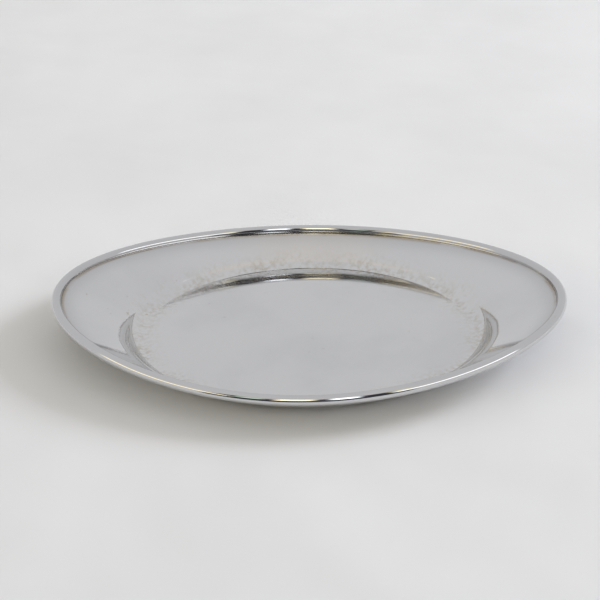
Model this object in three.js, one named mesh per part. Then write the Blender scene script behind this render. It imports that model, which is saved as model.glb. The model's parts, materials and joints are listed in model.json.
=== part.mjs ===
// Oval serving tray, pressed from one sheet of metal, with its edge rolled round a wire.
// Millimetres, +Z up, +X along the tray. The origin is under the middle, on the surface the tray rests on.
// Its section, from the middle outwards: a flat floor, a cove that turns up round it, a soft shoulder,
// a straight sloping brim, and the edge roll, which is centred on the line of the brim. The cove's wall is
// steeper at the tray's ends, where the brim is widest, than at its sides.

import * as THREE from "three";
import { ParametricGeometry } from "three/addons/geometries/ParametricGeometry.js";

// Driving dimensions.
const overallLength = 356;
const overallWidth = 249.4;
const floorLength = 232;
const floorWidth = 188;
const sheetThickness = 0.9;
const wireDiameter = 4.2;
const wireClearance = 0.4;
const rollHeightAtSides = 21.2;
const rollRiseAtEnds = 10;
const coveRadius = 12;
const shoulderRadius = 28;
const steepestAtSides = THREE.MathUtils.degToRad(45);
const steepestAtEnds = THREE.MathUtils.degToRad(58);
const rollSlit = THREE.MathUtils.degToRad(21);
const wireButtGap = 1.2;

// How far the rim's outline is drawn in from a true ellipse between its ends and its sides.
const outlineSlimming = 0.012;

// How finely the curves are divided.
const stepsRound = 72;
const coveSteps = 5;
const shoulderSteps = 3;
const rollSteps = 14;
const wireSides = 8;
const wireSteps = 96;

// Worked out from the driving dimensions.
const rollInnerRadius = wireDiameter / 2 + wireClearance;
const rollOuterRadius = rollInnerRadius + sheetThickness;
const rimHalfLength = overallLength / 2 - rollOuterRadius;
const rimHalfWidth = overallWidth / 2 - rollOuterRadius;
const halfSheet = sheetThickness / 2;

// The centre line of the edge roll at an angle round the tray. It rises towards both ends.
function rimPoint(angle) {
  const cos = Math.cos(angle);
  const sin = Math.sin(angle);
  const keep = 1 - outlineSlimming;
  return new THREE.Vector3(
    rimHalfLength * (keep * cos + outlineSlimming * Math.cos(3 * angle)),
    rimHalfWidth * (keep * sin - outlineSlimming * Math.sin(3 * angle)),
    rollHeightAtSides + rollRiseAtEnds * cos * cos,
  );
}

// The level direction square to the rim's outline, pointing out of the tray.
function rimOutward(angle) {
  const smallTurn = 1e-4;
  const along = rimPoint(angle + smallTurn).sub(rimPoint(angle - smallTurn));
  return new THREE.Vector3(along.y, -along.x, 0).normalize();
}

// The steepest slope of the cove's wall at an angle round the tray.
function steepestSlope(angle) {
  return steepestAtSides + (steepestAtEnds - steepestAtSides) * Math.cos(angle) ** 2;
}

// The centre of the shoulder's arc, out and up from the floor's edge. It touches the cove's arc at the
// steepest slope, from the other side.
function shoulderCentre(steepest) {
  const bothRadii = coveRadius + shoulderRadius;
  return new THREE.Vector2(bothRadii * Math.sin(steepest), coveRadius - bothRadii * Math.cos(steepest));
}

// The slope of the brim where it runs straight: the line from the roll's centre that touches the shoulder.
function brimSlope(centre, run, rise) {
  const toCentre = new THREE.Vector2(run, rise).sub(centre);
  return toCentre.angle() - Math.asin(shoulderRadius / toCentre.length());
}

// The middle of the sheet from the floor's edge to the top of the shoulder, each point with its slope.
function sheetLine(steepest, slopeOfBrim) {
  const centre = shoulderCentre(steepest);
  const line = [];
  for (let i = 0; i <= coveSteps; i++) {
    const slope = (steepest * i) / coveSteps;
    line.push({
      out: coveRadius * Math.sin(slope),
      up: coveRadius * (1 - Math.cos(slope)),
      slope,
    });
  }
  for (let i = 1; i <= shoulderSteps; i++) {
    const slope = steepest + ((slopeOfBrim - steepest) * i) / shoulderSteps;
    line.push({
      out: centre.x - shoulderRadius * Math.sin(slope),
      up: centre.y + shoulderRadius * Math.cos(slope),
      slope,
    });
  }
  return line;
}

// The closed section at an angle round the tray: out along the underside, round the inside of the roll
// to its free end, back round the outside of the roll, and in along the upper face.
function sectionPoints(angle) {
  const floorEdge = new THREE.Vector3(
    (floorLength / 2) * Math.cos(angle),
    (floorWidth / 2) * Math.sin(angle),
    halfSheet,
  );
  const rim = rimPoint(angle);
  const square = rimOutward(angle);
  const across = new THREE.Vector3(rim.x - floorEdge.x, rim.y - floorEdge.y, 0);
  const run = across.length();
  across.normalize();

  const steepest = steepestSlope(angle);
  const slopeAlong = brimSlope(shoulderCentre(steepest), run, rim.z - halfSheet);
  const slopeSquare = Math.atan(Math.tan(slopeAlong) / across.dot(square));
  const line = sheetLine(steepest, slopeAlong);

  const onFace = (side) => (point) =>
    floorEdge
      .clone()
      .addScaledVector(across, point.out - side * halfSheet * Math.sin(point.slope))
      .setZ(halfSheet + point.up + side * halfSheet * Math.cos(point.slope));
  const underside = line.map(onFace(-1));
  const upperFace = line.map(onFace(1));

  const brimDirection = Math.PI + slopeSquare;
  const freeEnd = brimDirection + rollSlit - 2 * Math.PI;
  const neckInside = brimDirection + Math.asin(halfSheet / rollInnerRadius);
  const neckOutside = brimDirection - Math.asin(halfSheet / rollOuterRadius);
  const rollArc = (radius, from, to) =>
    Array.from({ length: rollSteps + 1 }, (_, i) => {
      const turn = from + ((to - from) * i) / rollSteps;
      return rim
        .clone()
        .addScaledVector(square, radius * Math.cos(turn))
        .setZ(rim.z + radius * Math.sin(turn));
    });

  return [
    new THREE.Vector3(0, 0, 0),
    ...underside,
    ...rollArc(rollInnerRadius, neckInside, freeEnd),
    ...rollArc(rollOuterRadius, freeEnd, neckOutside),
    ...upperFace.reverse(),
    new THREE.Vector3(0, 0, sheetThickness),
  ];
}

// The pressed sheet: its section carried once round the tray.
function trayBodyGeometry() {
  const sections = Array.from({ length: stepsRound }, (_, i) => sectionPoints((2 * Math.PI * i) / stepsRound));
  const lastPoint = sections[0].length - 1;
  const surface = (round, along, target) => {
    const section = sections[Math.round(round * stepsRound) % stepsRound];
    target.copy(section[Math.round(along * lastPoint)]);
  };
  return new ParametricGeometry(surface, stepsRound, lastPoint);
}

// The centre line of the edge wire. It goes once round the rim, and its two ends almost meet at the back.
class WireLine extends THREE.Curve {
  getPoint(t, target = new THREE.Vector3()) {
    const halfGap = wireButtGap / 2 / rimHalfLength;
    const angle = Math.PI / 2 + halfGap + t * 2 * (Math.PI - halfGap);
    return target.copy(rimPoint(angle));
  }
}

function edgeWireGeometry() {
  const round = new THREE.Shape().absarc(0, 0, wireDiameter / 2, 0, 2 * Math.PI);
  return new THREE.ExtrudeGeometry(round, {
    extrudePath: new WireLine(),
    steps: wireSteps,
    curveSegments: wireSides,
  });
}

const polishedSheet = new THREE.MeshStandardMaterial({ color: 0xc8c8ca, roughness: 0.12, metalness: 1 });
const plainWire = new THREE.MeshStandardMaterial({ color: 0x8c8f92, roughness: 0.45, metalness: 1 });

function namedMesh(name, geometry, material) {
  const mesh = new THREE.Mesh(geometry, material);
  mesh.name = name;
  return mesh;
}

const tray = new THREE.Group();
tray.name = "serving_tray";
tray.add(namedMesh("tray_body", trayBodyGeometry(), polishedSheet));
tray.add(namedMesh("edge_wire", edgeWireGeometry(), plainWire));

export default tray;
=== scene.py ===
"""Oval serving tray of polished sheet metal, its edge rolled over a wire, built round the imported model."""

import json
import math

import bpy
import numpy as np
from mathutils import Matrix, Vector


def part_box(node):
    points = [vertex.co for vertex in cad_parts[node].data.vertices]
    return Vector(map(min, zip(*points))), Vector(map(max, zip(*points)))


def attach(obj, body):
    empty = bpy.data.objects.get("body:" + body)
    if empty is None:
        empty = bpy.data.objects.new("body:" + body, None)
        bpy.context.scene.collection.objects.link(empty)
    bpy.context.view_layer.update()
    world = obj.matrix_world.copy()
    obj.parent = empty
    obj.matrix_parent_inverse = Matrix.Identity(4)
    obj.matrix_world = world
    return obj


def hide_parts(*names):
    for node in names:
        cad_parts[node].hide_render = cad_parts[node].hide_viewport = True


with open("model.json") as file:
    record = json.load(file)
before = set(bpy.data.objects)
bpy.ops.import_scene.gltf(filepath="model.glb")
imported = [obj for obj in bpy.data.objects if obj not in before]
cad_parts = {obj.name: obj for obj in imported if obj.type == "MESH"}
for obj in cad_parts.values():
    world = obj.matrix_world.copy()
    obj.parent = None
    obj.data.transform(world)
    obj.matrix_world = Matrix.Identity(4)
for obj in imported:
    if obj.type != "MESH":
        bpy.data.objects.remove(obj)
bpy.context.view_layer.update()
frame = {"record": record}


# ---------------------------------------------------------------------------------------------------------
# Camera. It looks down on the tray from in front of one long side, from a little towards the right-hand end,
# through a short telephoto lens, and it is held a little out of level.

camera_elevation = math.radians(29.0)
camera_azimuth = math.radians(6.0)
camera_lean = math.radians(-2.13)
camera_distance = 0.9603
camera_lens = 82.8
camera_shift = (-0.0112, 0.0094)
camera_sensor_width = 36.0
camera_nearest = 0.01

# The height of the roll's centre at the middle of each long side, which the camera is aimed at.
rim_side_height = 0.0212

toward_camera = Vector(
    (
        math.sin(camera_azimuth) * math.cos(camera_elevation),
        -math.cos(camera_azimuth) * math.cos(camera_elevation),
        math.sin(camera_elevation),
    )
)
level_right = Vector((0, 0, 1)).cross(toward_camera).normalized()
level_up = toward_camera.cross(level_right)
camera_right = level_right * math.cos(camera_lean) + level_up * math.sin(camera_lean)
camera_up = level_up * math.cos(camera_lean) - level_right * math.sin(camera_lean)

camera_data = bpy.data.cameras.new("camera")
camera_data.lens = camera_lens
camera_data.sensor_width = camera_sensor_width
camera_data.shift_x, camera_data.shift_y = camera_shift
camera_data.clip_start = camera_nearest
camera = bpy.data.objects.new("camera", camera_data)
bpy.context.scene.collection.objects.link(camera)
camera.matrix_world = Matrix.Translation(
    Vector((0, 0, rim_side_height)) + toward_camera * camera_distance
) @ Matrix((camera_right, camera_up, toward_camera)).transposed().to_4x4()
bpy.context.scene.camera = camera


# ---------------------------------------------------------------------------------------------------------
# Tray body. One oval blank of bright sheet metal, pressed in a die to a flat floor, a cove, a soft shoulder
# and a straight sloping brim. Its edge is then rolled out and down over a wire, and the whole is buffed
# bright.

tray_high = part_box("tray_body")[1]
sheet = frame["record"]["mounts"][1]["pos_m"][2]
roll_outer = 0.0034
roll_inner = roll_outer - sheet
rim_half_length = tray_high[0] - roll_outer
rim_half_width = tray_high[1] - roll_outer
rim_slimming = 0.012
rim_rise = tray_high[2] - roll_outer - rim_side_height
floor_half_length = 0.1160
floor_half_width = 0.0940
cove_radius = 0.012
shoulder_radius = 0.028
steepest_at_sides = math.radians(45.0)
steepest_at_ends = math.radians(58.0)
roll_slit = math.radians(21.0)
ripple_height = 0.00005
ripple_waves = ((9, 1.0, 1.0), (17, 0.8, 2.6), (31, 0.5, 4.1))
cove_grime_middle = 0.003
cove_grime_reach = 0.008
# The painted shade in the crease where the brim meets the roll reaches about this far.
painted_crease_shade_reach = 0.0017
roll_haze_reach = 0.009
steps_round = 384
small_turn = 1e-4
lower_face_steps = (14, 12, 8)
upper_face_steps = (34, 24, 18)
roll_inside_steps = 28
roll_outside_steps = 56
lower_floor_rings = 6
upper_floor_rings = 16


def rim_line(angle):
    """The roll's centre: an ellipse drawn in a little between its ends and sides.

    It rises towards the ends with the square of the angle's cosine.
    """
    keep = 1.0 - rim_slimming
    return np.stack(
        [
            rim_half_length * (keep * np.cos(angle) + rim_slimming * np.cos(3 * angle)),
            rim_half_width * (keep * np.sin(angle) - rim_slimming * np.sin(3 * angle)),
            rim_side_height + rim_rise * np.cos(angle) ** 2,
        ],
        axis=-1,
    )


def rim_outward(angle):
    """The level direction square to the rim: the tangent turned a quarter turn outwards."""
    along = rim_line(angle + small_turn) - rim_line(angle - small_turn)
    out = np.stack([along[:, 1], -along[:, 0], np.zeros(len(angle))], axis=-1)
    return out / np.linalg.norm(out, axis=1, keepdims=True)


def steepest_slope(angle):
    """The wall's steepest slope, passing by cosine squared from that at the sides to that at the ends."""
    return steepest_at_sides + (steepest_at_ends - steepest_at_sides) * np.cos(angle) ** 2


def sheet_middle(steepest, run, rise, cove_steps, shoulder_steps, brim_steps):
    """The middle of the sheet from the floor's edge to the roll, as (out, up, slope) for each angle round.

    A concave arc climbs to the steepest slope, a convex arc eases back to the slope of the brim, and the
    brim is the straight line from the roll's centre that touches the convex arc. Also gives its slope.
    """
    centre_out = (cove_radius + shoulder_radius) * np.sin(steepest)
    centre_up = cove_radius - (cove_radius + shoulder_radius) * np.cos(steepest)
    gap_out = run - centre_out
    gap_up = rise - centre_up
    reach = np.hypot(gap_out, gap_up)
    brim = np.arctan2(gap_up, gap_out) - np.arcsin(shoulder_radius / reach)

    cove = np.linspace(0.0, 1.0, cove_steps)[:, None] * steepest
    cove_out = cove_radius * np.sin(cove)
    cove_up = cove_radius * (1 - np.cos(cove))

    ease = np.linspace(0.0, 1.0, shoulder_steps + 1)[1:, None]
    shoulder = steepest + (brim - steepest) * ease
    shoulder_out = centre_out - shoulder_radius * np.sin(shoulder)
    shoulder_up = centre_up + shoulder_radius * np.cos(shoulder)

    brim_length = np.hypot(run - shoulder_out[-1], rise - shoulder_up[-1]) - roll_outer - sheet
    reach_along = brim_length * np.linspace(0.0, 1.0, brim_steps + 1)[1:, None]
    straight_out = shoulder_out[-1] + reach_along * np.cos(brim)
    straight_up = shoulder_up[-1] + reach_along * np.sin(brim)
    straight = np.repeat(brim[None, :], brim_steps, axis=0)

    out = np.concatenate([cove_out, shoulder_out, straight_out])
    up = np.concatenate([cove_up, shoulder_up, straight_up])
    slope = np.concatenate([cove, shoulder, straight])
    return out, up, slope, brim


def press_ripples(angle, out, run):
    """How far the pressed wall waves up and down: a few sines round the tray, most between floor and roll.

    Each of the waves has its count round the tray, its size and its lead.
    """
    waves = sum(size * np.sin(count * angle + lead) for count, size, lead in ripple_waves)
    share = np.clip(out / run, 0.0, 1.0)
    return ripple_height * waves * np.sin(math.pi * share) ** 2


def nearness(distance, reach):
    """1 at no distance, falling off smoothly, and about a third at the reach."""
    return np.exp(-((distance / reach) ** 2))


def tray_surface():
    """The closed section of the sheet at every angle round the tray: an array (section points, angles, 3).

    It runs out along the underside, round the inside of the roll to its free end, back round the outside of
    the roll, in along the upper face, and across the floor. Also gives how near each point is to the cove,
    where tarnish lies, and how far it is from the crease between brim and roll, where shade is painted.
    """
    angle = np.arange(steps_round) * 2 * math.pi / steps_round
    rim = rim_line(angle)
    square = rim_outward(angle)
    floor_edge = np.stack(
        [floor_half_length * np.cos(angle), floor_half_width * np.sin(angle), 0 * angle], axis=-1
    )
    across = rim - floor_edge
    across[:, 2] = 0
    run = np.linalg.norm(across, axis=1)
    across /= run[:, None]
    cos_skew = (across * square).sum(axis=1)
    half = sheet / 2

    steepest = steepest_slope(angle)

    def faces(side, cove_steps, shoulder_steps, brim_steps):
        out, up, slope, _ = sheet_middle(
            steepest, run, rim[:, 2] - half, cove_steps, shoulder_steps, brim_steps
        )
        out = out - side * half * np.sin(slope)
        place = floor_edge + across * out[..., None]
        place[..., 2] = half + up + side * half * np.cos(slope) + press_ripples(angle, out, run)
        return place

    brim = sheet_middle(steepest, run, rim[:, 2] - half, *lower_face_steps)[3]
    brim_direction = math.pi + np.arctan(np.tan(brim) / cos_skew)
    free_end = brim_direction + roll_slit - 2 * math.pi
    neck_inside = brim_direction + math.asin(half / roll_inner)
    neck_outside = brim_direction - math.asin(half / roll_outer)

    def arc(radius, start, stop, steps):
        part = np.linspace(0.0, 1.0, steps)[:, None]
        turn = start + (stop - start) * part
        place = rim + square * (radius * np.cos(turn))[..., None]
        place[..., 2] += radius * np.sin(turn)
        return place

    def floor_rings(height, steps):
        part = np.linspace(0.0, 1.0, steps + 1)[:-1, None, None]
        place = floor_edge * part
        place[..., 2] = height
        return place

    surface = np.concatenate(
        [
            floor_rings(0.0, lower_floor_rings),
            faces(-1, *lower_face_steps),
            arc(roll_inner, neck_inside, free_end, roll_inside_steps),
            arc(roll_outer, free_end, neck_outside, roll_outside_steps),
            faces(1, *upper_face_steps)[::-1],
            floor_rings(sheet, upper_floor_rings)[::-1],
        ]
    )
    from_floor_edge = ((surface - floor_edge) * across).sum(axis=-1)
    crease = rim - across * (roll_outer * np.cos(brim))[:, None]
    crease[:, 2] -= roll_outer * np.sin(brim)
    from_crease = np.linalg.norm(surface - crease, axis=-1)
    return surface, nearness(from_floor_edge - cove_grime_middle, cove_grime_reach), from_crease


def add_piece(name, points, faces):
    """A mesh object at the origin from vertices and quads or triangles, shaded smooth."""
    mesh = bpy.data.meshes.new(name)
    mesh.from_pydata(points.tolist(), [], faces)
    mesh.polygons.foreach_set("use_smooth", np.ones(len(mesh.polygons), bool))
    mesh.update()
    piece = bpy.data.objects.new(name, mesh)
    bpy.context.scene.collection.objects.link(piece)
    return piece


def ring_faces(rings, around):
    """Quads between neighbouring rings of a closed turn, leaving out the first and the last ring."""
    ring = np.arange(rings - 1)[:, None] * around
    here = np.arange(around)[None, :]
    there = (here + 1) % around
    return np.stack(
        [ring + here, ring + there, ring + around + there, ring + around + here], axis=-1
    ).reshape(-1, 4)


def body_mesh():
    """The tray's surface, with each pole of the section drawn in to one vertex, and its wear and painted
    shade attributes.
    """
    surface, in_cove, from_crease = tray_surface()
    rings = surface[1:-1]
    count = len(rings)
    points = rings.reshape(-1, 3)
    below = len(points)
    above = below + 1
    points = np.concatenate([points, [[0, 0, 0], [0, 0, sheet]]])
    quads = ring_faces(count, steps_round).tolist()
    here = np.arange(steps_round)
    there = (here + 1) % steps_round
    top = (count - 1) * steps_round
    fan_below = np.stack([there, here, 0 * here + below], axis=-1).tolist()
    fan_above = np.stack([top + here, top + there, 0 * here + above], axis=-1).tolist()
    # Tarnish in the cove and haze near the roll are wear; the share at the crease is painted shade.
    wear_and_shade = {
        "in_cove": in_cove[1:-1],
        "painted_shade_at_crease": nearness(from_crease, painted_crease_shade_reach)[1:-1],
        "near_roll": nearness(from_crease, roll_haze_reach)[1:-1],
    }
    wear_and_shade = {name: np.append(values.ravel(), [0.0, 0.0]) for name, values in wear_and_shade.items()}
    return points, quads + fan_below + fan_above, wear_and_shade


body_points, body_faces, body_wear_and_shade = body_mesh()
tray_body = add_piece("tray_body_polished", body_points, body_faces)
# Each layer holds wear, except the one at the crease, which holds painted shade.
for wear_and_shade_name, wear_and_shade_values in body_wear_and_shade.items():
    wear_and_shade_layer = tray_body.data.attributes.new(wear_and_shade_name, "FLOAT", "POINT")
    wear_and_shade_layer.data.foreach_set("value", wear_and_shade_values)


def math_node(tree, operation, *values):
    """A Math node on numbers or sockets, and its result."""
    node = tree.nodes.new("ShaderNodeMath")
    node.operation = operation
    for socket, value in zip(node.inputs, values):
        if hasattr(value, "links"):
            tree.links.new(value, socket)
        else:
            socket.default_value = value
    return node.outputs[0]


def mix_colours(tree, share, first, second):
    """Two colours mixed by a share."""
    node = tree.nodes.new("ShaderNodeMix")
    node.data_type = "RGBA"
    tree.links.new(share, node.inputs["Factor"])
    for name, value in (("A", first), ("B", second)):
        socket = [s for s in node.inputs if s.name == name and s.type == "RGBA"][0]
        if hasattr(value, "links"):
            tree.links.new(value, socket)
        else:
            socket.default_value = value
    return [s for s in node.outputs if s.type == "RGBA"][0]


def ramp(tree, value, start, stop, low=0.0, high=1.0):
    """A smooth passage from low at the start to high at the stop."""
    node = tree.nodes.new("ShaderNodeMapRange")
    node.interpolation_type = "SMOOTHSTEP"
    tree.links.new(value, node.inputs["Value"])
    node.inputs["From Min"].default_value = start
    node.inputs["From Max"].default_value = stop
    node.inputs["To Min"].default_value = low
    node.inputs["To Max"].default_value = high
    return node.outputs["Result"]


def clouds(tree, scale, detail, stretch=(1, 1, 1), turn=0.0):
    """Fractal noise on the object's own coordinates, squeezed along its axes and turned about upright."""
    mapping = tree.nodes.new("ShaderNodeMapping")
    mapping.inputs["Scale"].default_value = stretch
    mapping.inputs["Rotation"].default_value = (0, 0, turn)
    coordinates = tree.nodes.new("ShaderNodeTexCoord")
    tree.links.new(coordinates.outputs["Object"], mapping.inputs["Vector"])
    noise = tree.nodes.new("ShaderNodeTexNoise")
    noise.inputs["Scale"].default_value = scale
    noise.inputs["Detail"].default_value = detail
    tree.links.new(mapping.outputs[0], noise.inputs["Vector"])
    return noise.outputs[0]


def wear_and_shade_share(tree, name):
    """A mesh attribute by its name: the wear in the cove or near the roll, and the painted shade at the
    crease.
    """
    node = tree.nodes.new("ShaderNodeAttribute")
    node.attribute_name = name
    return node.outputs["Fac"]


def bumped(tree, height, depth):
    """A Bump node that reads a height, and its normal."""
    node = tree.nodes.new("ShaderNodeBump")
    node.inputs["Distance"].default_value = depth
    tree.links.new(height, node.inputs["Height"])
    return node.outputs[0]


clean_metal = (0.75, 0.75, 0.752, 1)
hazy_metal = (0.71, 0.712, 0.72, 1)
dull_metal = (0.59, 0.59, 0.60, 1)
tarnished_metal = (0.61, 0.575, 0.51, 1)
# Painted shade: a dark brown laid on the crease where the brim meets the roll.
painted_crease_shade = (0.36, 0.30, 0.22, 1)
roll_haze_strength = 0.85
hairline_turns = (0.25, 1.1, 2.4)
hairline_stretch = (1, 90, 1)
hairline_height = 0.35
hairline_roughening = 0.025
tarnish_roughening = 0.20
# The painted shade at the crease is also made rougher, which dims what the crease mirrors.
painted_crease_shade_roughening = 0.30
buffing_depth = 0.000010

metal = bpy.data.materials.new("bright_buffed_sheet")
metal.use_nodes = True
polish = metal.node_tree
shader = polish.nodes["Principled BSDF"]
shader.inputs["Metallic"].default_value = 1.0

# Haze, tarnish, specks and painted shade at the crease, each as the share of the surface that it takes at a
# point.
haze = ramp(polish, clouds(polish, scale=14.0, detail=4.0), start=0.42, stop=0.68)
roll_haze = math_node(polish, "MULTIPLY", wear_and_shade_share(polish, "near_roll"), roll_haze_strength)
fine_clouds = clouds(polish, scale=300.0, detail=9.0, stretch=(1, 1, 0.35))
blotches = ramp(polish, fine_clouds, start=0.38, stop=0.68)
patches = ramp(polish, clouds(polish, scale=34.0, detail=5.0), start=0.36, stop=0.60, low=0.20)
mottling = math_node(polish, "MULTIPLY", blotches, patches)
cove_tarnish = math_node(polish, "MULTIPLY", mottling, wear_and_shade_share(polish, "in_cove"))
# Painted shade in the crease where the brim meets the roll, in patches.
painted_crease_shade_patches = ramp(polish, clouds(polish, scale=30.0, detail=5.0), start=0.40, stop=0.58, low=0.35)
painted_crease_shade_share = math_node(polish, "MULTIPLY", wear_and_shade_share(polish, "painted_shade_at_crease"), painted_crease_shade_patches)
specks = ramp(polish, clouds(polish, scale=260.0, detail=2.0), start=0.70, stop=0.76)
sparse = ramp(polish, clouds(polish, scale=18.0, detail=2.0), start=0.52, stop=0.62)
few_specks = math_node(polish, "MULTIPLY", specks, sparse)

colour = mix_colours(polish, haze, clean_metal, hazy_metal)
colour = mix_colours(polish, roll_haze, colour, dull_metal)
colour = mix_colours(polish, cove_tarnish, colour, tarnished_metal)
colour = mix_colours(polish, few_specks, colour, tarnished_metal)
# The painted shade is laid over the crease last.
colour = mix_colours(polish, painted_crease_shade_share, colour, painted_crease_shade)
polish.links.new(colour, shader.inputs["Base Color"])

# Hairline scratches in a few directions, and how much they, the tarnish and the painted shade at the crease
# dull the polish.
scratched = 0.0
for turn in hairline_turns:
    streaks = clouds(polish, scale=12.0, detail=3.0, stretch=hairline_stretch, turn=turn)
    scratched = math_node(polish, "ADD", scratched, ramp(polish, streaks, start=0.60, stop=0.74))
dullness = ramp(polish, haze, start=0.0, stop=1.0, low=0.04, high=0.08)
for wear_and_shade_place, roughening in (
    (scratched, hairline_roughening),
    (cove_tarnish, tarnish_roughening),
    (painted_crease_shade_share, painted_crease_shade_roughening),
):
    dullness = math_node(polish, "ADD", dullness, math_node(polish, "MULTIPLY", wear_and_shade_place, roughening))
polish.links.new(dullness, shader.inputs["Roughness"])

scratch_height = math_node(polish, "MULTIPLY", scratched, hairline_height)
unevenness = math_node(polish, "ADD", scratch_height, clouds(polish, scale=60.0, detail=2.0))
polish.links.new(bumped(polish, unevenness, buffing_depth), shader.inputs["Normal"])
tray_body.data.materials.append(metal)
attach(tray_body, "root")
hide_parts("tray_body")


# ---------------------------------------------------------------------------------------------------------
# Edge wire. Plain drawn steel wire bent to the rim's oval, its two ends almost meeting at the middle of the
# back. The body's edge is rolled over it, so it only shows through the narrow slit under the roll.

wire_radius = 0.0021
wire_butt_gap = 0.0012
wire_end_round = 0.0004
wire_end_steps = 6
wire_sides = 24


def wire_mesh():
    """A circle carried once round the rim's centre line, from one end of the wire to the other.

    Its radius falls by a quarter circle over each end's rounding, and a flat disc closes each end.
    """
    half_gap = wire_butt_gap / 2 / rim_half_length
    bend = np.linspace(0.0, math.pi / 2, wire_end_steps + 1)[:-1]
    start = math.pi / 2 + half_gap
    stop = start + 2 * (math.pi - half_gap)
    end_turn = wire_end_round / rim_half_length
    middle = np.linspace(start + end_turn, stop - end_turn, steps_round)
    angle = np.concatenate(
        [
            start + end_turn * (1 - np.cos(bend)),
            middle,
            stop - end_turn * (1 - np.cos(bend[::-1])),
        ]
    )
    flat_end = wire_radius - wire_end_round
    rounding = flat_end + wire_end_round * np.sin(bend)
    radius = np.concatenate([rounding, np.full(steps_round, wire_radius), rounding[::-1]])
    turn = np.arange(wire_sides) * 2 * math.pi / wire_sides
    centre = rim_line(angle)
    square = rim_outward(angle)
    rings = centre[:, None, :] + square[:, None, :] * (radius[:, None] * np.cos(turn))[..., None]
    rings[..., 2] += radius[:, None] * np.sin(turn)
    points = np.concatenate([rings.reshape(-1, 3), centre[[0, -1]]])
    quads = ring_faces(len(angle), wire_sides)[:, ::-1].tolist()
    here = np.arange(wire_sides)
    there = (here + 1) % wire_sides
    last = (len(angle) - 1) * wire_sides
    first_cap = np.stack([here, there, 0 * here + len(points) - 2], axis=-1).tolist()
    last_cap = np.stack([last + there, last + here, 0 * here + len(points) - 1], axis=-1).tolist()
    return points, quads + first_cap + last_cap


edge_wire = add_piece("edge_wire_drawn", *wire_mesh())

bare_steel = (0.44, 0.44, 0.45, 1)
stained_steel = (0.30, 0.27, 0.24, 1)
stain_depth = 0.00004

drawn_steel = bpy.data.materials.new("drawn_steel_wire")
drawn_steel.use_nodes = True
drawing = drawn_steel.node_tree
wire_shader = drawing.nodes["Principled BSDF"]
wire_shader.inputs["Metallic"].default_value = 1.0
wire_spots = ramp(drawing, clouds(drawing, scale=180.0, detail=4.0), start=0.40, stop=0.66)
wire_colour = mix_colours(drawing, wire_spots, bare_steel, stained_steel)
wire_dullness = ramp(drawing, wire_spots, start=0.0, stop=1.0, low=0.36, high=0.58)
drawing.links.new(wire_colour, wire_shader.inputs["Base Color"])
drawing.links.new(wire_dullness, wire_shader.inputs["Roughness"])
drawing.links.new(bumped(drawing, wire_spots, stain_depth), wire_shader.inputs["Normal"])
edge_wire.data.materials.append(drawn_steel)
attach(edge_wire, "root")
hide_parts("edge_wire")


# ---------------------------------------------------------------------------------------------------------
# Floor and light. A wide pale sheet of paper, soft light all round from a white tent, and a cooler soft
# light from the right and a little behind. The side that the camera stands on is a dark room with four
# lamps, between two long windows, and the bright metal shows them all.

stage_half = 6.0
stage_height = -0.0002
stage_mesh = bpy.data.meshes.new("stage_floor")
stage_mesh.from_pydata(
    [
        (-stage_half, -stage_half, stage_height),
        (stage_half, -stage_half, stage_height),
        (stage_half, stage_half, stage_height),
        (-stage_half, stage_half, stage_height),
    ],
    [],
    [(0, 1, 2, 3)],
)
stage_floor = bpy.data.objects.new("stage_floor", stage_mesh)
bpy.context.scene.collection.objects.link(stage_floor)

warm_paper = (0.735, 0.73, 0.72, 1)
light_paper = (0.765, 0.76, 0.75, 1)
paper_roughness = 0.9
paper_wave_depth = 0.004

paper = bpy.data.materials.new("pale_paper")
paper.use_nodes = True
backdrop = paper.node_tree
paper_shader = backdrop.nodes["Principled BSDF"]
paper_tone = ramp(backdrop, clouds(backdrop, scale=5.0, detail=3.0), start=0.35, stop=0.65)
paper_colour = mix_colours(backdrop, paper_tone, warm_paper, light_paper)
paper_waves = bumped(backdrop, clouds(backdrop, scale=9.0, detail=2.0), paper_wave_depth)
backdrop.links.new(paper_colour, paper_shader.inputs["Base Color"])
backdrop.links.new(paper_waves, paper_shader.inputs["Normal"])
paper_shader.inputs["Roughness"].default_value = paper_roughness
stage_mesh.materials.append(paper)

# The tent's white sides, and the dark room as a patch of them on the camera's side, up to its top.
tent_behind = (0.665, 0.667, 0.678, 1)
tent_above = (0.705, 0.682, 0.66, 1)
dark_room = (0.045, 0.045, 0.055, 1)
dark_room_top = math.radians(54.0)
dark_room_half_angle = math.radians(36.0)
edge_softness = math.radians(2.5)

world = bpy.data.worlds.new("studio")
bpy.context.scene.world = world
world.use_nodes = True
sky = world.node_tree
background = sky.nodes["Background"]

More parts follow.
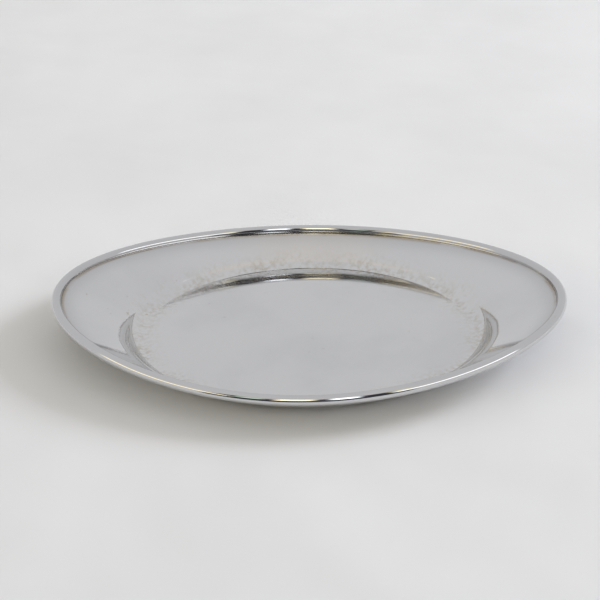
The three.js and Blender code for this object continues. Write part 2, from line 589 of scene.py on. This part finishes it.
seen_from_tray = sky.nodes.new("ShaderNodeTexCoord")
direction = sky.nodes.new("ShaderNodeSeparateXYZ")
sky.links.new(seen_from_tray.outputs["Generated"], direction.inputs[0])
look_x, look_y, look_z = direction.outputs
toward_front = math_node(sky, "MULTIPLY", look_y, -1.0)
elevation = math_node(sky, "ARCSINE", look_z)
azimuth = math_node(sky, "ARCTAN2", look_x, toward_front)


def patch_share(middle_azimuth, middle_elevation, half_width, half_height):
    """1 inside a patch of the surroundings and 0 outside it, given by directions seen from the tray."""
    sideways = math_node(sky, "ABSOLUTE", math_node(sky, "SUBTRACT", azimuth, middle_azimuth))
    upwards = math_node(sky, "ABSOLUTE", math_node(sky, "SUBTRACT", elevation, middle_elevation))
    across = ramp(sky, sideways, half_width - edge_softness, half_width + edge_softness, low=1.0, high=0.0)
    along = ramp(sky, upwards, half_height - edge_softness, half_height + edge_softness, low=1.0, high=0.0)
    return math_node(sky, "MULTIPLY", across, along)


surroundings = mix_colours(sky, ramp(sky, toward_front, start=0.12, stop=0.40), tent_behind, tent_above)
room_share = patch_share(0.0, 0.0, dark_room_half_angle, dark_room_top)
surroundings = mix_colours(sky, room_share, surroundings, dark_room)

# Lamps in the dark room and two long windows beside it, each with the azimuth and elevation of its middle,
# its half width and half height, all in degrees, and its colour.
lamps = [
    ((34, 40, 4, 10), (1.15, 1.08, 0.70, 1)),
    ((13, 41, 5, 12), (2.9, 3.05, 3.2, 1)),
    ((-6, 42, 7, 11), (2.8, 2.5, 1.7, 1)),
    ((-23, 42, 5, 9), (0.8, 0.95, 0.8, 1)),
    ((56, 27, 26, 5), (2.3, 2.35, 2.45, 1)),
    ((-54, 27, 26, 5), (1.9, 1.7, 1.2, 1)),
]
for place, glow in lamps:
    share = patch_share(*(math.radians(value) for value in place))
    surroundings = mix_colours(sky, share, surroundings, glow)
sky.links.new(surroundings, background.inputs["Color"])

# The cooler light, which is not itself mirrored in the metal.
key_place = Vector((4.0, 1.7, 2.4))
key_data = bpy.data.lights.new("key_light", "AREA")
key_data.size = 1.8
key_data.energy = 160.0
key_data.color = (0.84, 0.88, 1.0)
key_light = bpy.data.objects.new("key_light", key_data)
key_light.location = key_place
key_light.rotation_euler = key_place.to_track_quat("Z", "Y").to_euler()
key_light.visible_glossy = False
bpy.context.scene.collection.objects.link(key_light)

bpy.context.scene.view_settings.view_transform = "Standard"
